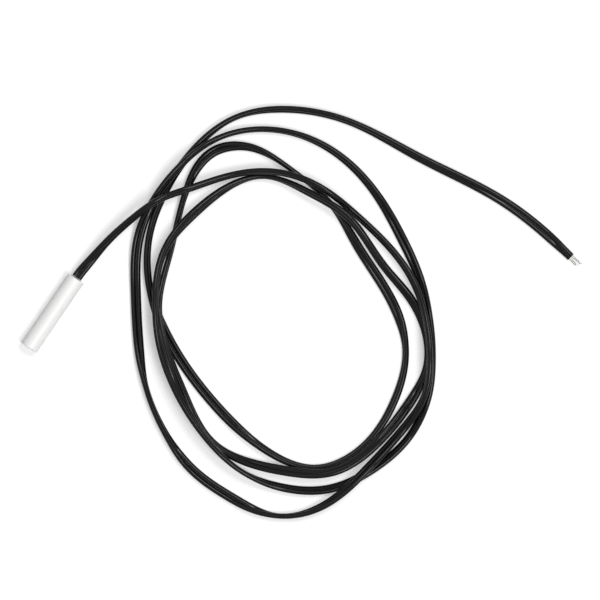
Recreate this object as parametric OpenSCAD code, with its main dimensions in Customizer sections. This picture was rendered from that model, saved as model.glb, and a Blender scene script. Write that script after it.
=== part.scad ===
// Temperature probe: a thermistor potted in a closed plastic sleeve, with a flat twin cable.
// The sleeve lies along X with its closed tip at -X and its mouth at +X, and rests on Z = 0.
// The cable leaves the mouth, goes round in four loose turns and ends in two tinned ends.

/* [Sleeve] */
// Outside diameter of the sleeve
sleeve_d = 6; // [5.5:0.1:8]
// Length of the sleeve over its closed end
sleeve_l = 27; // [25:0.5:40]
// Thickness of the sleeve's wall
sleeve_wall = 0.6; // [0.4:0.1:0.7]
// Thickness of the closed end
sleeve_end = 1; // [0.6:0.1:2]
// Rounding of the closed end's outer edge
sleeve_edge = 0.3; // [0.1:0.05:0.5]
// How far the potting resin bulges out of the mouth
resin_bulge = 0.4; // [0.2:0.05:0.6]

/* [Thermistor] */
// Diameter of the coated bead
bead_d = 2.4; // [2.3:0.1:2.8]
// Length of the coated bead, with its tapered neck
bead_l = 3.4; // [3:0.1:4]
// Diameter of the bead's neck, where the leads come out
bead_neck_d = 2.2; // [2.1:0.1:2.3]
// Gap between the bead and the closed end
bead_gap = 0.5; // [0.2:0.1:1]
// Diameter of a bead lead
bead_lead_d = 0.3; // [0.2:0.05:0.35]
// How deep the leads go into the bead
bead_lead_depth = 0.8; // [0.5:0.1:1.2]

/* [Solder joints] */
// Length of bare conductor inside the sleeve
bare_l = 4; // [3.5:0.5:6]
// Length over which a lead lies on its conductor
lap_l = 3; // [2:0.5:3]
// Solder beyond each end of the lap
solder_end = 0.3; // [0.1:0.1:0.4]
// Solder between a lead and its conductor
solder_film = 0.02; // [0.01:0.01:0.05]
// Least thickness of solder round the lap
solder_skin = 0.05; // [0.03:0.01:0.1]
// Wall of the tubing over each joint
tubing_wall = 0.15; // [0.1:0.05:0.2]
// How far the tubing reaches past the tip of the conductor
tubing_over = 1; // [0.5:0.1:2]

/* [Cable] */
// Width of the flat twin cable
cable_w = 3.4; // [3.2:0.1:3.5]
// Thickness of the cable
cable_t = 1.7; // [1.6:0.1:1.8]
// Length of cable inside the sleeve
cable_in = 8; // [6:0.5:10]
// Length of cable that runs straight out of the mouth
cable_out = 1; // [0.8:0.1:2]
// Diameter of one stranded conductor
core_d = 0.7; // [0.5:0.05:0.8]
// Length of the longer tinned end
tinned_l = 4; // [3:0.5:8]
// How much the other tinned end is shorter
tinned_cut = 1; // [0:0.5:2]

/* [Hidden] */
$fn = 64;

// Places along X, from the tip to the mouth
tip_x = -(sleeve_l + resin_bulge) / 2;
mouth_x = tip_x + sleeve_l;
bead_x = tip_x + sleeve_end + bead_gap;
bead_end_x = bead_x + bead_l;
cable_x = mouth_x - cable_in;
core_tip_x = cable_x - bare_l;
lap_end_x = core_tip_x + lap_l;
tubing_x = core_tip_x - tubing_over;

// Places across the sleeve
axis_z = sleeve_d / 2;
bore_d = sleeve_d - 2 * sleeve_wall;
core_pitch = cable_w - cable_t;
lead_z = axis_z + (core_d + bead_lead_d) / 2 + solder_film;
joint_z = axis_z + (bead_lead_d + solder_film) / 2;
joint_d = core_d + bead_lead_d + solder_film + 2 * solder_skin;
tubing_d = joint_d + 2 * tubing_wall;

// Radius of the ball of which the resin's bulge is a cap
bulge_r = (pow(bore_d / 2, 2) + pow(resin_bulge, 2)) / (2 * resin_bulge);
overshoot = 0.1;

// The eight corners of the cable's section, flat: a half ring of corners at each core
corner_r = cable_t / 2 / cos(22.5);
section = [for (a = [22.5 : 45 : 337.5]) [corner_r * cos(a) + sign(cos(a)) * core_pitch / 2, corner_r * sin(a)]];

// Cable route, point by point: x, y, height of the underside above the table, and the
// cable's turn about its own line, in degrees (0 lies flat, 90 stands on edge)
inside_route = [[cable_x, 0, axis_z - cable_t / 2, 0], [mouth_x + cable_out, 0, axis_z - cable_t / 2, 0]];
lead_route = [
    [20, -0.5, 2, 30], [28, -1.5, 3, 60], [40.5, -4.5, 5, 70], [48.5, -7.5, 6.5, 75],
    [58, -14, 3.5, 70], [70, -23.5, 2.5, 75], [78.5, -35, 4, 75], [82, -48.5, 4.5, 75],
    [81, -64.5, 1, 70]];
first_turn = [
    [74, -90, 3, 65], [65.5, -101, 5.5, 80], [56.5, -108.5, 7, 80], [45.5, -114, 5.5, 75],
    [32.5, -114.5, 1.5, 50], [15, -112, 4, 45], [-1.5, -107.5, 2.5, 60], [-13, -97.5, 0, 90],
    [-17, -80, 0, 15], [-16.5, -65.5, 0, 25], [-11.5, -51.5, 0, 75], [-3.5, -39, 0, 85],
    [8.5, -27.5, 0, 20], [21, -18, 0, 10], [35, -9.5, 1.5, 15], [49, -6.5, 3, 60],
    [63, -7.5, 4, 75], [76, -12, 1, 85]];
second_turn = [
    [91, -30, 0, 80], [94, -46.5, 0, 65], [91, -63, 0, 50], [83, -80, 0, 20],
    [75.5, -92, 0.5, 45], [66.5, -102, 3, 80], [58.5, -108.5, 3.5, 85], [45, -115.5, 3, 60],
    [30.5, -117.5, 0, 60], [17, -114, 0, 50], [3.5, -106, 0, 50], [-4.5, -94, 0, 55],
    [-8, -78.5, 2.5, 90], [-5.5, -63.5, 4, 80], [1, -48.5, 4.5, 55], [9.5, -36.5, 5.5, 30],
    [23, -24.5, 6, 75], [37, -18.5, 4, 65], [51.5, -19.5, 2.5, 35], [75, -32, 0, 90]];
third_turn = [
    [78.5, -46.5, 3, 65], [79, -61.5, 4, 60], [76, -71, 2.5, 60], [72.5, -80, 2, 55],
    [68.5, -93.5, 0.5, 45], [53.5, -109.5, 0, 65], [39.5, -111.5, 0.5, 15], [24, -110, 3.5, 35],
    [8.5, -103.5, 4, 50], [0.5, -91.5, 3, 20], [-5.5, -66, 0, 70], [3, -49, 1.5, 75],
    [22, -26.5, 2.5, 75], [37, -20.5, 0, 80], [51.5, -15, 0, 80], [73, -14, 0, 15],
    [79.5, -21.5, 0, 55]];
fourth_turn = [
    [81.5, -37, 0, 90], [79, -56, 0, 75], [73, -69.5, 0, 35], [64, -89.5, 0, 20],
    [54, -101, 0, 75], [39, -107, 0, 60], [20.5, -107, 0, 70], [6.5, -98.5, 0, 75],
    [2, -80.5, 0, 60], [5, -59.5, 0, 0], [12.5, -38.5, 0, 0], [24.5, -21, 0, 65],
    [37.5, -12, 0, 70], [52, -8, 0, 60], [70, -8, 0, 70], [85, -13, 0, 85]];
tail_route = [
    [96.5, -25, 0, 70], [104.5, -43, 0, 70], [108, -69.5, 0, 45], [111.5, -98, 0, 25],
    [111, -114.5, 0, 0], [109, -128, 0, 55]];
route = concat(inside_route, lead_route, first_turn, second_turn, third_turn, fourth_turn, tail_route);
last = len(route) - 1;

// Heading of the cable at a point, from the point before it to the one after it
function heading(i) =
    let (from = route[max(i - 1, 0)], to = route[min(i + 1, last)])
    i < len(inside_route) ? 0 : atan2(to.y - from.y, to.x - from.x);

// How far the turned section reaches below its centre
function reach(turn) = max([for (c = section) c.x * sin(turn) + c.y * cos(turn)]);

// Centre of the cable at a point
function centre(i) = [route[i].x, route[i].y, route[i].z + reach(route[i][3])];

// A place in the cable's section: u along its width, v along its thickness
function in_section(i, u, v) =
    let (turn = route[i][3], side = u * cos(turn) - v * sin(turn), up = u * sin(turn) + v * cos(turn))
    centre(i) + [-side * sin(heading(i)), side * cos(heading(i)), up];

// Turns a shape made along Z so that it runs along X
module along_x(x, y = 0, z = axis_z) {
    translate([x, y, z]) rotate([0, 90, 0]) children();
}

// One bead lead: straight out of the bead and along the top of its conductor; side is 1 or -1
module bead_lead(side) {
    along_x(bead_end_x - bead_lead_depth, side * core_pitch / 2, lead_z)
        cylinder(d = bead_lead_d, h = lap_end_x - bead_end_x + bead_lead_depth);
}

module core_end(side) {
    along_x(core_tip_x, side * core_pitch / 2) cylinder(d = core_d, h = bare_l);
}

// Drop of solder round the lap of a lead and its conductor
module solder_joint(side) {
    difference() {
        along_x(core_tip_x - solder_end, side * core_pitch / 2, joint_z)
            cylinder(d = joint_d, h = lap_l + 2 * solder_end);
        bead_lead(side);
        core_end(side);
    }
}

// Outside of the tubing over a joint, also the room that the resin leaves for it
module tubing_room(side) {
    along_x(tubing_x, side * core_pitch / 2, joint_z) cylinder(d = tubing_d, h = cable_x - tubing_x);
}

module joint_tubing(side) {
    difference() {
        tubing_room(side);
        along_x(tubing_x - overshoot, side * core_pitch / 2, joint_z)
            cylinder(d = joint_d, h = cable_x - tubing_x + 2 * overshoot);
    }
}

// Bead as a drop: a ball towards the tip and a neck that tapers towards the leads
module bead_solid() {
    along_x(bead_x, 0, lead_z) rotate_extrude() intersection() {
        square([bead_d, bead_l]);
        union() {
            translate([0, bead_d / 2]) circle(d = bead_d);
            polygon([[0, bead_d / 2], [bead_d / 2, bead_d / 2], [bead_neck_d / 2, bead_l], [0, bead_l]]);
        }
    }
}

// Straight end of the cable inside the sleeve and just out of it
module cable_stub() {
    translate([cable_x, 0, axis_z]) rotate([90, 0, 90]) linear_extrude(cable_in + cable_out) polygon(section);
}

module probe_sleeve() {
    color("white") along_x(tip_x) rotate_extrude() difference() {
        union() {
            square([sleeve_d / 2 - sleeve_edge, sleeve_l]);
            translate([0, sleeve_edge]) square([sleeve_d / 2, sleeve_l - sleeve_edge]);
            translate([sleeve_d / 2 - sleeve_edge, sleeve_edge]) circle(sleeve_edge);
        }
        translate([0, sleeve_end]) square([bore_d / 2, sleeve_l]);
    }
}

// Resin that fills the bore round everything in it and bulges a little out of the mouth
module potting_resin() {
    color("ghostwhite") difference() {
        along_x(tip_x + sleeve_end) rotate_extrude() union() {
            square([bore_d / 2, sleeve_l - sleeve_end]);
            intersection() {
                translate([0, sleeve_l - sleeve_end + resin_bulge - bulge_r]) circle(bulge_r);
                translate([0, sleeve_l - sleeve_end - overshoot]) square([bore_d / 2, resin_bulge + overshoot]);
            }
        }
        bead_solid();
        for (side = [-1, 1]) {
            bead_lead(side);
            tubing_room(side);
        }
        cable_stub();
    }
}

module thermistor_bead() {
    color("darkslategray") difference() {
        bead_solid();
        for (side = [-1, 1]) bead_lead(side);
    }
}

// Cable, a tube of eight sides swept along the route
module cable() {
    sides = len(section);
    points = [for (i = [0 : last]) for (c = section) in_section(i, c.x, c.y)];
    skin = [for (i = [0 : last - 1]) for (k = [0 : sides - 1])
        let (a = i * sides + k, b = i * sides + (k + 1) % sides)
        for (face = [[a, a + sides, b + sides], [a, b + sides, b]]) face];
    caps = [[for (k = [0 : sides - 1]) k], [for (k = [sides - 1 : -1 : 0]) last * sides + k]];
    color("#222222") polyhedron(points, concat(skin, caps));
}

// One tinned end, straight on from its core at the cable's free end; the one of side -1 is shorter
module tinned_end(side) {
    color("silver") translate(in_section(last, side * core_pitch / 2, 0))
        rotate([0, 90, heading(last)])
            cylinder(d = core_d, h = side > 0 ? tinned_l : tinned_l - tinned_cut);
}

probe_sleeve();
potting_resin();
thermistor_bead();
color("silver") bead_lead(1);  // bead_lead_a
color("silver") bead_lead(-1);  // bead_lead_b
color("lightgray") solder_joint(1);  // solder_joint_a
color("lightgray") solder_joint(-1);  // solder_joint_b
color("dimgray") joint_tubing(1);  // joint_tubing_a
color("dimgray") joint_tubing(-1);  // joint_tubing_b
color("silver") core_end(1);  // core_end_a
color("silver") core_end(-1);  // core_end_b
cable();
tinned_end(1);  // tinned_end_a
tinned_end(-1);  // tinned_end_b
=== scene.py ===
import bpy
import numpy as np
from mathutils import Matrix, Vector


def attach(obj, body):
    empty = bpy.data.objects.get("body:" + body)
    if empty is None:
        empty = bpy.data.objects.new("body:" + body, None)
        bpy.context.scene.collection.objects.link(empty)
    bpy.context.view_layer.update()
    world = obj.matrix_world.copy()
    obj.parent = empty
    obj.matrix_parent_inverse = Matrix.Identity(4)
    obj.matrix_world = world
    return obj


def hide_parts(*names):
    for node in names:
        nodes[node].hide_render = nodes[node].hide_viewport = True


# Thermistor probe: a closed white sleeve, resin, a flat black twin cable and two tinned ends.
# Everything is in metres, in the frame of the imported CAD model: the sleeve lies along X, and the
# table is Z = 0.

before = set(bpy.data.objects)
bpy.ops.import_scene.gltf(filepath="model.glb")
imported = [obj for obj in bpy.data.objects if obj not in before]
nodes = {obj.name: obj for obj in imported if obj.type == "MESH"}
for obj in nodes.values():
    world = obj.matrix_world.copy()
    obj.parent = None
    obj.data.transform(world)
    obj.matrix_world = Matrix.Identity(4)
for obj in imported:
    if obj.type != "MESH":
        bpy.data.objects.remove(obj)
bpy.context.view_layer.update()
scene = bpy.context.scene
print("frame loaded:", len(nodes), "CAD nodes")


# Small helpers

sharpAngle = 38   # degrees; edges that bend more than this stay crisp


def linear(hexColour):
    # sRGB hex to linear: c / 12.92 below 0.04045, else ((c + 0.055) / 1.055) to the power 2.4
    c = np.array([int(hexColour[i:i + 2], 16) for i in (1, 3, 5)]) / 255
    c = np.where(c <= 0.04045, c / 12.92, ((c + 0.055) / 1.055) ** 2.4)
    return (*c.tolist(), 1.0)


def addNode(tree, kind, links=None, **settings):
    # one node: settings are its own properties, and links are its sockets, each with a value or
    # another node's output
    node = tree.nodes.new(kind)
    for name, value in settings.items():
        setattr(node, name, value)
    for socket, value in (links or {}).items():
        if isinstance(value, bpy.types.NodeSocket):
            tree.links.new(value, node.inputs[socket])
        else:
            node.inputs[socket].default_value = value
    return node


def newMaterial(name):
    material = bpy.data.materials.new(name)
    material.use_nodes = True
    material.node_tree.nodes.clear()
    return material, material.node_tree


def finishMaterial(tree, shader):
    addNode(tree, "ShaderNodeOutputMaterial", {"Surface": shader.outputs[0]})


def gridObject(name, points, startPole, endPole, attribute=None):
    # points[i, j] is row i, column j; each row closes into a ring, and a pole closes the first and
    # the last one; attribute holds a vector for each point, kept as straightPlace
    rows, columns = points.shape[:2]
    i, j = np.meshgrid(np.arange(rows - 1), np.arange(columns), indexing="ij")
    k = (j + 1) % columns
    quads = np.stack([i * columns + j, i * columns + k,
                      (i + 1) * columns + k, (i + 1) * columns + j], -1).reshape(-1, 4)
    ring = np.arange(columns)
    after = (ring + 1) % columns
    count, last = rows * columns, (rows - 1) * columns
    fans = np.concatenate([
        np.stack([np.full(columns, count), after, ring], -1),
        np.stack([np.full(columns, count + 1), last + ring, last + after], -1)])
    vertices = np.concatenate([points.reshape(-1, 3), [startPole], [endPole]])
    faces = quads.tolist() + fans.tolist()
    # the enclosed volume, the sum of (a x b) . c / 6 over the triangles, tells which way they face
    triangles = np.concatenate([quads[:, [0, 1, 2]], quads[:, [0, 2, 3]], fans])
    a, b, c = (vertices[triangles[:, n]] for n in range(3))
    if np.einsum("ij,ij->i", np.cross(a, b), c).sum() < 0:
        faces = [f[::-1] for f in faces]
    mesh = bpy.data.meshes.new(name)
    mesh.from_pydata(vertices.tolist(), [], faces)
    if attribute is not None:
        values = np.concatenate([attribute.reshape(-1, 3), [attribute[0].mean(0)],
                                 [attribute[-1].mean(0)]]).astype(np.float32)
        mesh.attributes.new("straightPlace", "FLOAT_VECTOR", "POINT").data.foreach_set(
            "vector", values.ravel())
    mesh.shade_smooth()
    mesh.set_sharp_from_angle(angle=np.radians(sharpAngle))
    mesh.update()
    piece = bpy.data.objects.new(name, mesh)
    scene.collection.objects.link(piece)
    return piece


# Camera: straight above, turned so that the sleeve points down and to the left

cameraSet = {
    "centre": (0.04829, -0.06358),   # point of the table in the middle of the picture
    "height": 2.0,
    "frameWidth": 0.19355,           # width of table that the picture shows
    "planeHeight": 0.003,            # height above the table at which that width holds
    "turn": -55.7,                   # degrees, of the picture about the line of sight
    "sensor": 36.0,                  # millimetres
    "clip": (0.05, 50),
}
cameraData = bpy.data.cameras.new("camera")
cameraData.sensor_width = cameraSet["sensor"]
cameraData.lens = cameraSet["sensor"] * (cameraSet["height"] - cameraSet["planeHeight"]) \
    / cameraSet["frameWidth"]
cameraData.clip_start, cameraData.clip_end = cameraSet["clip"]
camera = bpy.data.objects.new("camera", cameraData)
camera.location = (*cameraSet["centre"], cameraSet["height"])
camera.rotation_euler = (0, 0, np.radians(cameraSet["turn"]))
scene.collection.objects.link(camera)
scene.camera = camera
scene.view_settings.view_transform = "Standard"
print("camera set")


# Cable: flat twin cable on its route of four loose turns

cableSet = {
    "core": 0.0017,        # thickness, which is the diameter round each core
    "pitch": 0.0017,       # from core to core
    "web": 0.0009,         # thickness of the web between the cores
    "webFillet": 0.00016,  # how softly a core runs into the web
    "ringStep": 0.001,     # from ring to ring along the route
    "stubRings": 9,        # on the straight stub in the sleeve
    "quarterPoints": 11,   # points from the outer edge of a core to the middle of the web
}
mouthX = 0.0133            # the sleeve's mouth
axisZ = 0.003              # height of the sleeve's axis

# x, y, height of the underside above the table, and the turn about the cable's own line in
# degrees, where 0 lies flat and 90 stands on edge
insideRoute = [[0.0053, 0, 0.00215, 0], [0.0143, 0, 0.00215, 0]]
leadRoute = [
    [0.02, -0.0005, 0.002, 30], [0.028, -0.0015, 0.003, 60], [0.0405, -0.0045, 0.005, 70],
    [0.0485, -0.0075, 0.0065, 75], [0.058, -0.014, 0.0035, 70], [0.07, -0.0235, 0.0025, 75],
    [0.0785, -0.035, 0.004, 75], [0.082, -0.0485, 0.0045, 75], [0.081, -0.0645, 0.001, 70]]
firstTurn = [
    [0.074, -0.09, 0.003, 65], [0.0655, -0.101, 0.0055, 80], [0.0565, -0.1085, 0.007, 80],
    [0.0455, -0.114, 0.0055, 75], [0.0325, -0.1145, 0.0015, 50], [0.015, -0.112, 0.004, 45],
    [-0.0015, -0.1075, 0.0025, 60], [-0.013, -0.0975, 0, 90], [-0.017, -0.08, 0, 15],
    [-0.0165, -0.0655, 0, 25], [-0.0115, -0.0515, 0, 75], [-0.0035, -0.039, 0, 85],
    [0.0085, -0.0275, 0, 20], [0.021, -0.018, 0, 10], [0.035, -0.0095, 0.0015, 15],
    [0.049, -0.0065, 0.003, 60], [0.063, -0.0075, 0.004, 75], [0.076, -0.012, 0.001, 85]]
secondTurn = [
    [0.091, -0.03, 0, 80], [0.094, -0.0465, 0, 65], [0.091, -0.063, 0, 50], [0.083, -0.08, 0, 20],
    [0.0755, -0.092, 0.0005, 45], [0.0665, -0.102, 0.003, 80], [0.0585, -0.1085, 0.0035, 85],
    [0.045, -0.1155, 0.003, 60], [0.0305, -0.1175, 0, 60], [0.017, -0.114, 0, 50],
    [0.0035, -0.106, 0, 50], [-0.0045, -0.094, 0, 55], [-0.008, -0.0785, 0.0025, 90],
    [-0.0055, -0.0635, 0.004, 80], [0.001, -0.0485, 0.0045, 55], [0.0095, -0.0365, 0.0055, 30],
    [0.023, -0.0245, 0.006, 75], [0.037, -0.0185, 0.004, 65], [0.0515, -0.0195, 0.0025, 35],
    [0.075, -0.032, 0, 90]]
thirdTurn = [
    [0.0785, -0.0465, 0.003, 65], [0.079, -0.0615, 0.004, 60], [0.076, -0.071, 0.0025, 60],
    [0.0725, -0.08, 0.002, 55], [0.0685, -0.0935, 0.0005, 45], [0.0535, -0.1095, 0, 65],
    [0.0395, -0.1115, 0.0005, 15], [0.024, -0.11, 0.0035, 35], [0.0085, -0.1035, 0.004, 50],
    [0.0005, -0.0915, 0.003, 20], [-0.0055, -0.066, 0, 70], [0.003, -0.049, 0.0015, 75],
    [0.022, -0.0265, 0.0025, 75], [0.037, -0.0205, 0, 80], [0.0515, -0.015, 0, 80],
    [0.073, -0.014, 0, 15], [0.0795, -0.0215, 0, 55]]
fourthTurn = [
    [0.0815, -0.037, 0, 90], [0.079, -0.056, 0, 75], [0.073, -0.0695, 0, 35],
    [0.064, -0.0895, 0, 20], [0.054, -0.101, 0, 75], [0.039, -0.107, 0, 60],
    [0.0205, -0.107, 0, 70], [0.0065, -0.0985, 0, 75], [0.002, -0.0805, 0, 60],
    [0.005, -0.0595, 0, 0], [0.0125, -0.0385, 0, 0], [0.0245, -0.021, 0, 65],
    [0.0375, -0.012, 0, 70], [0.052, -0.008, 0, 60], [0.07, -0.008, 0, 70], [0.085, -0.013, 0, 85]]
tailRoute = [
    [0.0965, -0.025, 0, 70], [0.1045, -0.043, 0, 70], [0.108, -0.0695, 0, 45],
    [0.1115, -0.098, 0, 25], [0.111, -0.1145, 0, 0], [0.109, -0.128, 0, 55]]


def clampedSpline(s, values, at, startSlope):
    # cubic spline through values[s]: second slopes m solve the usual three-term equations, with a
    # given slope at the start and no bending at the end
    h = np.diff(s)
    jump = np.diff(values, axis=0) / h[:, None]
    n = len(s)
    matrix, right = np.zeros((n, n)), np.zeros((n, 2))
    matrix[0, :2] = 2 * h[0], h[0]
    right[0] = 6 * (jump[0] - startSlope)
    inner = np.arange(1, n - 1)
    matrix[inner, inner - 1] = h[:-1]
    matrix[inner, inner] = 2 * (h[:-1] + h[1:])
    matrix[inner, inner + 1] = h[1:]
    right[inner] = 6 * np.diff(jump, axis=0)
    matrix[-1, -1] = 1
    m = np.linalg.solve(matrix, right)
    k = np.clip(np.searchsorted(s, at, side="right") - 1, 0, n - 2)
    t, w = (at - s[k])[:, None], h[k][:, None]
    slope = jump[k] - w * (2 * m[k] + m[k + 1]) / 6
    return values[k] + t * slope + t ** 2 * m[k] / 2 + t ** 3 * (m[k + 1] - m[k]) / (6 * w)


def steadyCurve(s, values, at):
    # cubic through values[s] that never overshoots: the slope at a point is the weighted harmonic
    # mean of the slopes beside it, or 0 at a top or a bottom
    h = np.diff(s)[:, None]
    jump = np.diff(values, axis=0) / h
    before, beyond = 2 * h[1:] + h[:-1], h[1:] + 2 * h[:-1]
    same = jump[:-1] * jump[1:] > 0
    safe = np.where(same, jump[:-1], 1), np.where(same, jump[1:], 1)
    slope = np.zeros_like(values)
    slope[1:-1] = np.where(same, (before + beyond) / (before / safe[0] + beyond / safe[1]), 0)
    k = np.clip(np.searchsorted(s, at, side="right") - 1, 0, len(s) - 2)
    w = h[k]
    t = (at - s[k])[:, None] / w
    return ((1 + 2 * t) * (1 - t) ** 2 * values[k] + t * (1 - t) ** 2 * w * slope[k]
            + t ** 2 * (3 - 2 * t) * values[k + 1] + t ** 2 * (t - 1) * w * slope[k + 1])


def cableLine():
    # straight out of the sleeve, then one smooth curve over the table; the centre is as high as
    # the underside's height, half a core, and half the pitch times sin(turn)
    loose = np.array(insideRoute[1:] + leadRoute + firstTurn + secondTurn + thirdTurn
                     + fourthTurn + tailRoute, float)
    s = np.concatenate([[0], np.cumsum(np.linalg.norm(np.diff(loose[:, :2], axis=0), axis=1))])
    at = np.linspace(0, s[-1], int(s[-1] / cableSet["ringStep"]) + 1)
    plan = clampedSpline(s, loose[:, :2], at, np.array([1.0, 0.0]))
    height = steadyCurve(s, loose[:, 2:], at)
    lift, turn = height[:, 0], np.radians(height[:, 1])
    start, stub = np.array(insideRoute, float), cableSet["stubRings"]
    inside = np.linspace(0, 1, stub + 1)[:-1, None]
    plan = np.concatenate([start[0, :2] + inside * (start[1, :2] - start[0, :2]), plan])
    lift = np.concatenate([np.full(stub, start[0, 2]), lift])
    turn = np.concatenate([np.zeros(stub), turn])
    z = lift + cableSet["core"] / 2 + cableSet["pitch"] / 2 * np.sin(turn)
    return np.column_stack([plan, z]), turn


def cableSection():
    # half height over the width: a circle round each core, and between the cores the larger of
    # that circle and the web, with the step between the two rounded over webFillet
    r, p = cableSet["core"] / 2, cableSet["pitch"] / 2
    a = np.linspace(0, np.pi, cableSet["quarterPoints"])
    across, circle = p + r * np.cos(a), r * np.sin(a)
    web, soft = cableSet["web"] / 2, cableSet["webFillet"]
    joined = np.maximum(circle, web) + np.maximum(soft - np.abs(circle - web), 0) ** 2 / (4 * soft)
    high = np.where(a > np.pi / 2, joined, circle)
    top = np.column_stack([np.concatenate([across, -across[-2::-1]]),
                           np.concatenate([high, high[-2::-1]])])
    return np.concatenate([top, (top * [1, -1])[-2:0:-1]])


def sweepSection(line, turn, section):
    # ring i is section turned by turn[i] in the plane square to the line; the first axis of that
    # plane is level, the second is the tangent x the first
    tangent = np.gradient(line, axis=0)
    tangent /= np.linalg.norm(tangent, axis=1)[:, None]
    level = np.column_stack([-tangent[:, 1], tangent[:, 0], np.zeros(len(line))])
    level /= np.linalg.norm(level, axis=1)[:, None]
    upright = np.cross(tangent, level)
    u, v = section[:, 0], section[:, 1]
    cos, sin = np.cos(turn)[:, None], np.sin(turn)[:, None]
    side, up = u * cos - v * sin, u * sin + v * cos
    return (line[:, None] + side[..., None] * level[:, None] + up[..., None] * upright[:, None],
            tangent, level, upright)


line, turn = cableLine()
section = cableSection()
rings, tangents, levels, uprights = sweepSection(line, turn, section)
along = np.concatenate([[0], np.cumsum(np.linalg.norm(np.diff(line, axis=0), axis=1))])
straight = np.empty(rings.shape)        # where each point would be if the cable lay straight
straight[..., 0] = section[:, 0]
straight[..., 1] = section[:, 1]
straight[..., 2] = along[:, None]
cable = gridObject("cable_insulation", rings, startPole=line[0], endPole=line[-1],
                   attribute=straight)
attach(cable, "root")
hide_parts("cable")
print("cable:", len(line), "rings,", round(float(along[-1]), 4), "m")


# Tinned ends: strands laid in a helix and soldered into one, at the cable's cut end

tinnedSet = {
    "radius": 0.00035,
    "strandDepth": 0.12,   # how deep the valleys between strands are, of the radius
    "strands": 6,          # on the outside, round one in the middle
    "layLength": 0.03,     # one turn of the strands, which stripping has nearly straightened
    "buried": 0.001,       # length inside the insulation
    "length": 0.004,
    "shorter": 0.001,      # how much shorter the second one is
    "rings": 90,
    "columns": 72,
    "splay": 0.00022,      # how far each tip bends out sideways
    "tipLength": 1.2,      # length of the rounded tip, of the radius
    "tipReach": 0.995,     # how far round the tip the last ring lies, of its quarter turn
    "tipPoint": 0.00001,   # how far the very tip stands beyond the last ring
}


def tinnedEnd(name, side):
    # radius r (1 - depth (1 - |cos(strands / 2 (angle - 2 pi s / lay))|)), with r and the depth
    # shrinking round the tip like an ellipse; the line bends out by splay (s / length) squared
    length = tinnedSet["length"] - (tinnedSet["shorter"] if side < 0 else 0)
    at = np.linspace(-tinnedSet["buried"], length, tinnedSet["rings"])
    tipLength = tinnedSet["tipLength"] * tinnedSet["radius"]
    tipFrom = length - tipLength
    toTip = np.clip((at - tipFrom) / tipLength, 0, tinnedSet["tipReach"])
    at = np.where(toTip > 0, tipFrom + np.sin(toTip * np.pi / 2) * tipLength, at)
    shrink = np.cos(toTip * np.pi / 2)
    angle = np.linspace(0, 2 * np.pi, tinnedSet["columns"], endpoint=False)
    phase = tinnedSet["strands"] / 2 * (angle - 2 * np.pi * at[:, None] / tinnedSet["layLength"])
    valley = 1 - tinnedSet["strandDepth"] * (1 - np.abs(np.cos(phase))) * shrink[:, None]
    radius = tinnedSet["radius"] * shrink[:, None] * valley
    cos, sin = np.cos(turn[-1]), np.sin(turn[-1])
    direction, level = tangents[-1], levels[-1]
    offset = side * cableSet["pitch"] / 2
    start = line[-1] + offset * (cos * level + sin * uprights[-1])
    out = side * tinnedSet["splay"] * (np.clip(at, 0, None) / length) ** 2
    middle = start + at[:, None] * direction + out[:, None] * level
    points = middle[:, None] + (radius * np.cos(angle))[..., None] * level \
        + (radius * np.sin(angle))[..., None] * uprights[-1]
    piece = gridObject(name, points, startPole=middle[0],
                       endPole=middle[-1] + tinnedSet["tipPoint"] * direction)
    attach(piece, "root")
    return piece


wireA = tinnedEnd("tinned_wire_a", 1)
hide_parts("tinned_end_a")
wireB = tinnedEnd("tinned_wire_b", -1)
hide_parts("tinned_end_b")
print("tinned ends made")


# Sleeve: turned profile with softened edges

sleeveSet = {
    "radius": 0.003,
    "bore": 0.0024,
    "tipX": -0.0137,
    "endThickness": 0.001,
    "tipEdge": 0.0003,     # rounding of the closed end
    "mouthEdge": 0.00012,  # rounding of the mouth, outside and inside
    "columns": 128,
    "outsideRings": 30,
    "boreRings": 12,
    "faceRings": (0.35, 0.7),  # on the closed end's face, of the radius
    "floorRing": 0.5,          # on the bore's floor, of its radius
}


def roundCorner(centre, radius, fromDegrees, toDegrees, steps=7):
    # centre + radius (cos a, sin a) from one angle to the other, as (x, distance from the axis)
    a = np.radians(np.linspace(fromDegrees, toDegrees, steps))
    return np.column_stack([centre[0] + radius * np.cos(a), centre[1] + radius * np.sin(a)])


def turned(profile, columns):
    # a profile of (x, distance r from the axis) carried round the sleeve's axis, to
    # (x, r cos a, axis height + r sin a)
    a = np.linspace(0, 2 * np.pi, columns, endpoint=False)
    x, r = profile[:, 0, None], profile[:, 1, None]
    return np.stack([x + 0 * a, r * np.cos(a), axisZ + r * np.sin(a)], -1)


def sleevePiece():
    # from the middle of the closed end, along the outside, round the mouth and back down the bore
    s = sleeveSet
    tip, mouth, edge, soft = s["tipX"], mouthX, s["tipEdge"], s["mouthEdge"]
    outside = np.linspace(tip + edge, mouth - soft, s["outsideRings"])[1:-1]
    inside = np.linspace(mouth - soft, tip + s["endThickness"], s["boreRings"])[1:]
    profile = np.concatenate([
        [[tip, s["radius"] * share] for share in s["faceRings"]],
        roundCorner((tip + edge, s["radius"] - edge), edge, 180, 90),
        np.column_stack([outside, np.full(len(outside), s["radius"])]),
        roundCorner((mouth - soft, s["radius"] - soft), soft, 90, 0),
        roundCorner((mouth - soft, s["bore"] + soft), soft, 0, -90),
        np.column_stack([inside, np.full(len(inside), s["bore"])]),
        [[tip + s["endThickness"], s["bore"] * s["floorRing"]]]])
    piece = gridObject("sleeve", turned(profile, s["columns"]), startPole=(tip, 0, axisZ),
                       endPole=(tip + s["endThickness"], 0, axisZ))
    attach(piece, "root")
    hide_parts("probe_sleeve")
    return piece


sleeve = sleevePiece()
print("sleeve made")


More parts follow.
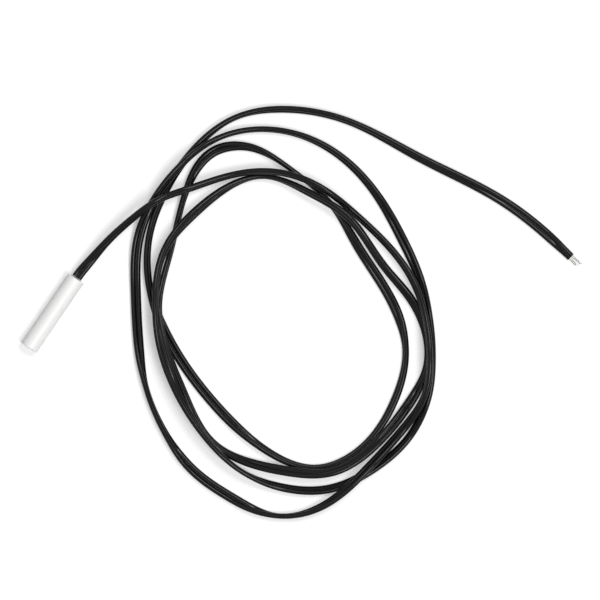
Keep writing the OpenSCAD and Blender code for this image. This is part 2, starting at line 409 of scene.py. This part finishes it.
# Resin: fills the bore, bulges a little out of the mouth and creeps up the cable

resinSet = {
    "bulge": 0.0004,        # how far it stands out of the mouth at the most
    "dome": 0.9,            # share of the bulge that the dome takes; the creep may add the rest
    "creep": 0.0003,        # how far it climbs along the cable
    "creepReach": 0.00035,  # how far from the cable the climb begins
    "bite": 0.00002,        # how far it reaches into the cable's skin, so that no gap shows
    "frontRings": 14,
    "crowding": 1.6,        # how much the front's rings crowd towards the cable
    "tunnelRings": 9,       # round the cable, from inside the sleeve to tunnelEnd before the mouth
    "tunnelEnd": 0.0005,
    "wallRings": 16,        # along the bore, from wallStart behind the mouth to the closed end
    "wallStart": 0.0004,
    "backRing": 0.5,        # on the back face, of the bore
}


def resinPiece():
    # front: between the cable's outline and the bore, x = mouth + dome bulge (1 - (r / bore)
    # squared) + creep (1 - share of the way to the bore) e to the power -(distance from the
    # cable / creepReach), and no more than mouth + bulge; then back along the bore
    r = resinSet
    outline = section * (1 - r["bite"] / np.linalg.norm(section, axis=1)[:, None])
    angle = np.arctan2(outline[:, 1], outline[:, 0])
    rim = sleeveSet["bore"] * np.column_stack([np.cos(angle), np.sin(angle)])
    share = np.linspace(0, 1, r["frontRings"])[:, None, None] ** r["crowding"]
    front = outline + share * (rim - outline)
    away = np.linalg.norm(front - outline, axis=2)
    far = np.linalg.norm(front, axis=2) / sleeveSet["bore"]
    x = mouthX + r["bulge"] * (1 - far ** 2) * r["dome"] \
        + r["creep"] * np.exp(-away / r["creepReach"]) * (1 - share[..., 0])
    x = np.minimum(x, mouthX + r["bulge"])
    backX = sleeveSet["tipX"] + sleeveSet["endThickness"]
    tunnel = [np.column_stack([np.full(len(outline), at), outline])
              for at in np.linspace(insideRoute[0][0], mouthX - r["tunnelEnd"], r["tunnelRings"])]
    face = [np.column_stack([x[n], front[n]]) for n in range(r["frontRings"])]
    wall = [np.column_stack([np.full(len(rim), at), rim])
            for at in np.linspace(mouthX - r["wallStart"], backX, r["wallRings"])]
    back = [np.column_stack([np.full(len(rim), backX), rim * r["backRing"]])]
    rows = np.array(tunnel + face + wall + back)
    rows[..., 2] += axisZ
    piece = gridObject("potting_resin_fill", rows, startPole=(insideRoute[0][0], 0, axisZ),
                       endPole=(backX, 0, axisZ))
    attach(piece, "root")
    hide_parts("potting_resin")
    return piece


resin = resinPiece()
print("resin made")


# Materials

noiseLow, noiseHigh = 0.3, 0.7   # between these two lie nearly all values of a noise

pvcFinish = {
    "dark": "#0b0b0c",
    "light": "#101011",
    "tones": (0.35, 0.7),          # of the bloom, between which dark turns to light
    "roughness": (0.12, 0.21),
    "ior": 1.47,
    "specular": 0.17,              # a bloomed skin gives back less than clean PVC
    "dieLines": (8000, 8000, 35),  # per metre: 0.12 mm apart across the skin and 29 mm long
    "dieLineDepth": 0.00001,
    "dieLineStrength": 0.07,
    "patches": (650, 650, 85),     # per metre: 1.5 mm across and 12 mm long
    "grain": 9000.0,               # per metre: 0.11 mm
    "grainDepth": 0.000005,
    "grainStrength": 0.02,
}


def flexiblePvc():
    # flexible PVC, extruded: near black, with a satin gloss that draws thin pale lines along the
    # cores, faint lines along its length from the die, and a duller bloom where it was handled
    f = pvcFinish
    material, tree = newMaterial("flexible_pvc_extruded_black")
    place = addNode(tree, "ShaderNodeAttribute", attribute_name="straightPlace")
    lengthways = addNode(tree, "ShaderNodeMapping", {
        "Vector": place.outputs["Vector"], "Scale": f["dieLines"]})
    dieLines = addNode(tree, "ShaderNodeTexNoise", {
        "Vector": lengthways.outputs[0], "Scale": 1.0, "Detail": 3.0, "Roughness": 0.6})
    patches = addNode(tree, "ShaderNodeMapping", {
        "Vector": place.outputs["Vector"], "Scale": f["patches"]})
    bloom = addNode(tree, "ShaderNodeTexNoise", {
        "Vector": patches.outputs[0], "Scale": 1.0, "Detail": 4.0, "Roughness": 0.55})
    grain = addNode(tree, "ShaderNodeTexNoise", {
        "Vector": place.outputs["Vector"], "Scale": f["grain"], "Detail": 2.0})
    colour = addNode(tree, "ShaderNodeValToRGB", {"Fac": bloom.outputs[0]})
    for element, at, tone in zip(colour.color_ramp.elements, f["tones"], ("dark", "light")):
        element.position, element.color = at, linear(f[tone])
    rough = addNode(tree, "ShaderNodeMapRange", {
        "Value": bloom.outputs[0], "From Min": noiseLow, "From Max": noiseHigh,
        "To Min": f["roughness"][0], "To Max": f["roughness"][1]})
    lines = addNode(tree, "ShaderNodeBump", {
        "Height": dieLines.outputs[0], "Strength": f["dieLineStrength"],
        "Distance": f["dieLineDepth"]})
    skin = addNode(tree, "ShaderNodeBump", {
        "Height": grain.outputs[0], "Strength": f["grainStrength"],
        "Distance": f["grainDepth"], "Normal": lines.outputs[0]})
    shader = addNode(tree, "ShaderNodeBsdfPrincipled", {
        "Base Color": colour.outputs[0], "Roughness": rough.outputs[0], "IOR": f["ior"],
        "Specular IOR Level": f["specular"], "Normal": skin.outputs[0]})
    finishMaterial(tree, shader)
    return material


absFinish = {
    "dark": "#f9f9f8",
    "light": "#fcfcfb",
    "tones": (0.3, 0.65),      # of the flow marks, between which dark turns to light
    "roughness": (0.38, 0.5),
    "ior": 1.54,
    "glow": 0.05,              # share of the light that wanders under the skin
    "glowReach": 0.0006,
    "flow": (90, 420, 420),    # per metre: marks 11 mm long and 2.4 mm across
    "grain": 6500.0,           # per metre: 0.15 mm, as spark-eroded moulds leave it
    "grainDepth": 0.00003,
    "grainStrength": 0.15,
}


def mouldedAbs():
    # white ABS, injection moulded: a bright, even white with a soft sheen, a fine mould grain that
    # is felt more than seen, and the faintest flow marks along it
    f = absFinish
    material, tree = newMaterial("abs_injection_moulded_white")
    place = addNode(tree, "ShaderNodeTexCoord")
    grain = addNode(tree, "ShaderNodeTexNoise", {
        "Vector": place.outputs["Object"], "Scale": f["grain"], "Detail": 3.0,
        "Roughness": 0.6})
    stretched = addNode(tree, "ShaderNodeMapping", {
        "Vector": place.outputs["Object"], "Scale": f["flow"]})
    flow = addNode(tree, "ShaderNodeTexNoise", {
        "Vector": stretched.outputs[0], "Scale": 1.0, "Detail": 4.0, "Distortion": 0.4})
    colour = addNode(tree, "ShaderNodeValToRGB", {"Fac": flow.outputs[0]})
    for element, at, tone in zip(colour.color_ramp.elements, f["tones"], ("dark", "light")):
        element.position, element.color = at, linear(f[tone])
    rough = addNode(tree, "ShaderNodeMapRange", {
        "Value": flow.outputs[0], "From Min": noiseLow, "From Max": noiseHigh,
        "To Min": f["roughness"][0], "To Max": f["roughness"][1]})
    skin = addNode(tree, "ShaderNodeBump", {
        "Height": grain.outputs[0], "Strength": f["grainStrength"], "Distance": f["grainDepth"]})
    shader = addNode(tree, "ShaderNodeBsdfPrincipled", {
        "Base Color": colour.outputs[0], "Roughness": rough.outputs[0], "IOR": f["ior"],
        "Subsurface Weight": f["glow"], "Subsurface Radius": (1.0, 1.0, 1.0),
        "Subsurface Scale": f["glowReach"], "Normal": skin.outputs[0]})
    finishMaterial(tree, shader)
    return material


epoxyFinish = {
    "dark": "#cfcfcb",
    "light": "#e2e2df",
    "roughness": (0.15, 0.3),
    "ior": 1.55,
    "clouds": 900.0,           # per metre: 1.1 mm
    "bubbles": 3500.0,         # per metre: one to each 0.3 mm, 0.1 to 0.2 mm wide
    "bubbleEdge": (0.05, 0.3), # from a bubble's floor to its rim, in cells
    "bubbleDepth": 0.00003,
    "bubbleStrength": 0.3,
}


def pottingEpoxy():
    # filled epoxy, poured and cured: greyish white, glossier than the sleeve, with a few tiny
    # bubbles under its skin
    f = epoxyFinish
    material, tree = newMaterial("epoxy_potted_off_white")
    place = addNode(tree, "ShaderNodeTexCoord")
    cloud = addNode(tree, "ShaderNodeTexNoise", {
        "Vector": place.outputs["Object"], "Scale": f["clouds"], "Detail": 3.0})
    bubbles = addNode(tree, "ShaderNodeTexVoronoi", {
        "Vector": place.outputs["Object"], "Scale": f["bubbles"]})
    pits = addNode(tree, "ShaderNodeMapRange", {
        "Value": bubbles.outputs["Distance"],
        "From Min": f["bubbleEdge"][0], "From Max": f["bubbleEdge"][1]})
    colour = addNode(tree, "ShaderNodeValToRGB", {"Fac": cloud.outputs[0]})
    for element, tone in zip(colour.color_ramp.elements, ("dark", "light")):
        element.color = linear(f[tone])
    skin = addNode(tree, "ShaderNodeBump", {
        "Height": pits.outputs[0], "Strength": f["bubbleStrength"],
        "Distance": f["bubbleDepth"]})
    rough = addNode(tree, "ShaderNodeMapRange", {
        "Value": cloud.outputs[0], "To Min": f["roughness"][0], "To Max": f["roughness"][1]})
    shader = addNode(tree, "ShaderNodeBsdfPrincipled", {
        "Base Color": colour.outputs[0], "Roughness": rough.outputs[0], "IOR": f["ior"],
        "Normal": skin.outputs[0]})
    finishMaterial(tree, shader)
    return material


# the frost of solder and tin is finer than these grains, which are drawn coarser so that they
# show; roughness and colour wander together over them, and the default IOR stays
metalFinishes = {
    # bright, slightly warm grey, smooth where the solder ran over the strands
    "tinned_copper_solder_dipped": {
        "dark": "#85837f", "light": "#aeaca8", "roughness": (0.25, 0.38), "grain": 0.0004},
    # a duller, grainier grey than the wire that it wets
    "tin_solder_set": {
        "dark": "#a9a8a6", "light": "#c4c3c0", "roughness": (0.28, 0.45), "grain": 0.0002},
}
frostStrength, frostDepth = 0.2, 0.00002       # of the metals' bump


def metalSkin(name):
    # soft metal: bright and blurred, with a grain that the light catches
    f = metalFinishes[name]
    material, tree = newMaterial(name)
    place = addNode(tree, "ShaderNodeTexCoord")
    grain = addNode(tree, "ShaderNodeTexNoise", {
        "Vector": place.outputs["Object"], "Scale": 1 / f["grain"], "Detail": 4.0,
        "Roughness": 0.6})
    colour = addNode(tree, "ShaderNodeValToRGB", {"Fac": grain.outputs[0]})
    for element, at, tone in zip(colour.color_ramp.elements, (noiseLow, noiseHigh),
                                 ("dark", "light")):
        element.position, element.color = at, linear(f[tone])
    rough = addNode(tree, "ShaderNodeMapRange", {
        "Value": grain.outputs[0], "From Min": noiseLow, "From Max": noiseHigh,
        "To Min": f["roughness"][0], "To Max": f["roughness"][1]})
    skin = addNode(tree, "ShaderNodeBump", {
        "Height": grain.outputs[0], "Strength": frostStrength, "Distance": frostDepth})
    shader = addNode(tree, "ShaderNodeBsdfPrincipled", {
        "Base Color": colour.outputs[0], "Metallic": 1.0, "Roughness": rough.outputs[0],
        "Normal": skin.outputs[0]})
    finishMaterial(tree, shader)
    return material


plasticFinishes = {
    # dark green-black and glossy, with slow ripples from the dip
    "epoxy_lacquer_dipped": {
        "dark": "#17201e", "light": "#1f2a27", "roughness": (0.12, 0.22), "ior": 1.55,
        "patch": 0.0006},
    # dark grey with a waxy sheen
    "polyolefin_tubing_shrunk": {
        "dark": "#2c2c2e", "light": "#3a3a3c", "roughness": (0.4, 0.55), "ior": 1.5,
        "patch": 0.0005},
}
rippleStrength, rippleDepth = 0.1, 0.00003     # of the bump on both


def plasticSkin(name):
    # plain plastic or lacquer: two near shades and a gloss that wander over patches of its skin
    f = plasticFinishes[name]
    material, tree = newMaterial(name)
    place = addNode(tree, "ShaderNodeTexCoord")
    patches = addNode(tree, "ShaderNodeTexNoise", {
        "Vector": place.outputs["Object"], "Scale": 1 / f["patch"], "Detail": 4.0})
    colour = addNode(tree, "ShaderNodeValToRGB", {"Fac": patches.outputs[0]})
    for element, at, tone in zip(colour.color_ramp.elements, (noiseLow, noiseHigh),
                                 ("dark", "light")):
        element.position, element.color = at, linear(f[tone])
    rough = addNode(tree, "ShaderNodeMapRange", {
        "Value": patches.outputs[0], "From Min": noiseLow, "From Max": noiseHigh,
        "To Min": f["roughness"][0], "To Max": f["roughness"][1]})
    skin = addNode(tree, "ShaderNodeBump", {
        "Height": patches.outputs[0], "Strength": rippleStrength, "Distance": rippleDepth})
    shader = addNode(tree, "ShaderNodeBsdfPrincipled", {
        "Base Color": colour.outputs[0], "Roughness": rough.outputs[0], "IOR": f["ior"],
        "Normal": skin.outputs[0]})
    finishMaterial(tree, shader)
    return material


def setMaterial(piece, material):
    piece.data.materials.clear()
    piece.data.materials.append(material)


setMaterial(cable, flexiblePvc())
setMaterial(sleeve, mouldedAbs())
setMaterial(resin, pottingEpoxy())
tinned = metalSkin("tinned_copper_solder_dipped")
for piece in (wireA, wireB, *(nodes[name] for name in (
        "core_end_a", "core_end_b", "bead_lead_a", "bead_lead_b"))):
    setMaterial(piece, tinned)
solder = metalSkin("tin_solder_set")
for name in ("solder_joint_a", "solder_joint_b"):
    setMaterial(nodes[name], solder)
setMaterial(nodes["thermistor_bead"], plasticSkin("epoxy_lacquer_dipped"))
tubing = plasticSkin("polyolefin_tubing_shrunk")
for name in ("joint_tubing_a", "joint_tubing_b"):
    setMaterial(nodes[name], tubing)
print("materials set")


# Table and light

tableSet = {
    "size": 30.0,
    "below": 0.00005,      # how far it lies under the object, so that no two faces coincide
    "colour": "#dcdcdc",
    "lift": 0.4,           # glow that is added where it is seen, round the object
    "farLift": 1.0,        # the same far from the lamps, up to the horizon
    "near": 0.2,           # the glow grows from lift to farLift between these two distances
    "far": 0.9,
}


def seenRays(tree):
    # 1 for the rays by which the camera, a gloss or glass sees the background, else 0
    path = addNode(tree, "ShaderNodeLightPath")
    seen = addNode(tree, "ShaderNodeMath", {
        0: path.outputs["Is Camera Ray"], 1: path.outputs["Is Glossy Ray"]}, operation="MAXIMUM")
    either = addNode(tree, "ShaderNodeMath", {
        0: seen.outputs[0], 1: path.outputs["Is Transmission Ray"]}, operation="MAXIMUM")
    return either.outputs[0]


def tablePlane():
    # painted board, plain and matt: it keeps the object's shadow, and where it is seen it glows
    # just enough to come out white
    half = tableSet["size"] / 2
    corners = [(-half, -half), (half, -half), (half, half), (-half, half)]
    mesh = bpy.data.meshes.new("table")
    mesh.from_pydata([(x, y, -tableSet["below"]) for x, y in corners], [], [(0, 1, 2, 3)])
    table = bpy.data.objects.new("table", mesh)
    scene.collection.objects.link(table)
    material, tree = newMaterial("painted_board_white")
    place = addNode(tree, "ShaderNodeTexCoord")
    away = addNode(tree, "ShaderNodeVectorMath", {0: place.outputs["Object"]}, operation="LENGTH")
    lift = addNode(tree, "ShaderNodeMapRange", {
        "Value": away.outputs["Value"], "From Min": tableSet["near"], "From Max": tableSet["far"],
        "To Min": tableSet["lift"], "To Max": tableSet["farLift"]})
    glow = addNode(tree, "ShaderNodeMath", {0: seenRays(tree), 1: lift.outputs[0]},
                   operation="MULTIPLY")
    board = addNode(tree, "ShaderNodeBsdfDiffuse", {"Color": linear(tableSet["colour"])})
    white = addNode(tree, "ShaderNodeEmission", {
        "Color": (1, 1, 1, 1), "Strength": glow.outputs[0]})
    both = addNode(tree, "ShaderNodeAddShader", {0: board.outputs[0], 1: white.outputs[0]})
    finishMaterial(tree, both)
    mesh.materials.append(material)


lampSet = {
    # name: (towards the picture's right, towards its top, height, size, share of the light)
    "low_right": (0.35, -0.35, 1.35, 0.45, 0.448),
    "upper_right": (0.4, 0.45, 1.35, 0.45, 0.34),
    "left": (-0.45, 0.1, 1.3, 0.45, 0.05),
}


def lamp(name, right, top, height, size, share):
    # the share that it gives of the light on the table is
    # power cos(angle from upright) / (pi squared distance squared), solved for the power
    turnRadians = np.radians(cameraSet["turn"])
    toRight = np.array([np.cos(turnRadians), np.sin(turnRadians)])
    toTop = np.array([-np.sin(turnRadians), np.cos(turnRadians)])
    centre = np.array(cameraSet["centre"])
    place = np.array([*(centre + right * toRight + top * toTop), height])
    away = np.array([*(place[:2] - centre), height])
    distance = np.linalg.norm(away)
    data = bpy.data.lights.new(name, "AREA")
    data.shape, data.size = "SQUARE", size
    data.energy = share * np.pi ** 2 * distance ** 2 / (height / distance)
    light = bpy.data.objects.new(name, data)
    light.location = place
    light.rotation_mode = "QUATERNION"
    light.rotation_quaternion = Vector(away).to_track_quat("Z", "Y")
    scene.collection.objects.link(light)


tablePlane()
for name, values in lampSet.items():
    lamp(name, *values)
roomSet = {"light": 0.12, "seen": 1.0}   # on the object, and where a ray sees the background
world = bpy.data.worlds.new("soft_room")
world.use_nodes = True
room = world.node_tree
room.nodes.clear()
strength = addNode(room, "ShaderNodeMapRange", {
    "Value": seenRays(room), "To Min": roomSet["light"], "To Max": roomSet["seen"]})
backdrop = addNode(room, "ShaderNodeBackground", {
    "Color": (1, 1, 1, 1), "Strength": strength.outputs[0]})
addNode(room, "ShaderNodeOutputWorld", {"Surface": backdrop.outputs[0]})
scene.world = world
print("table and lamps set")
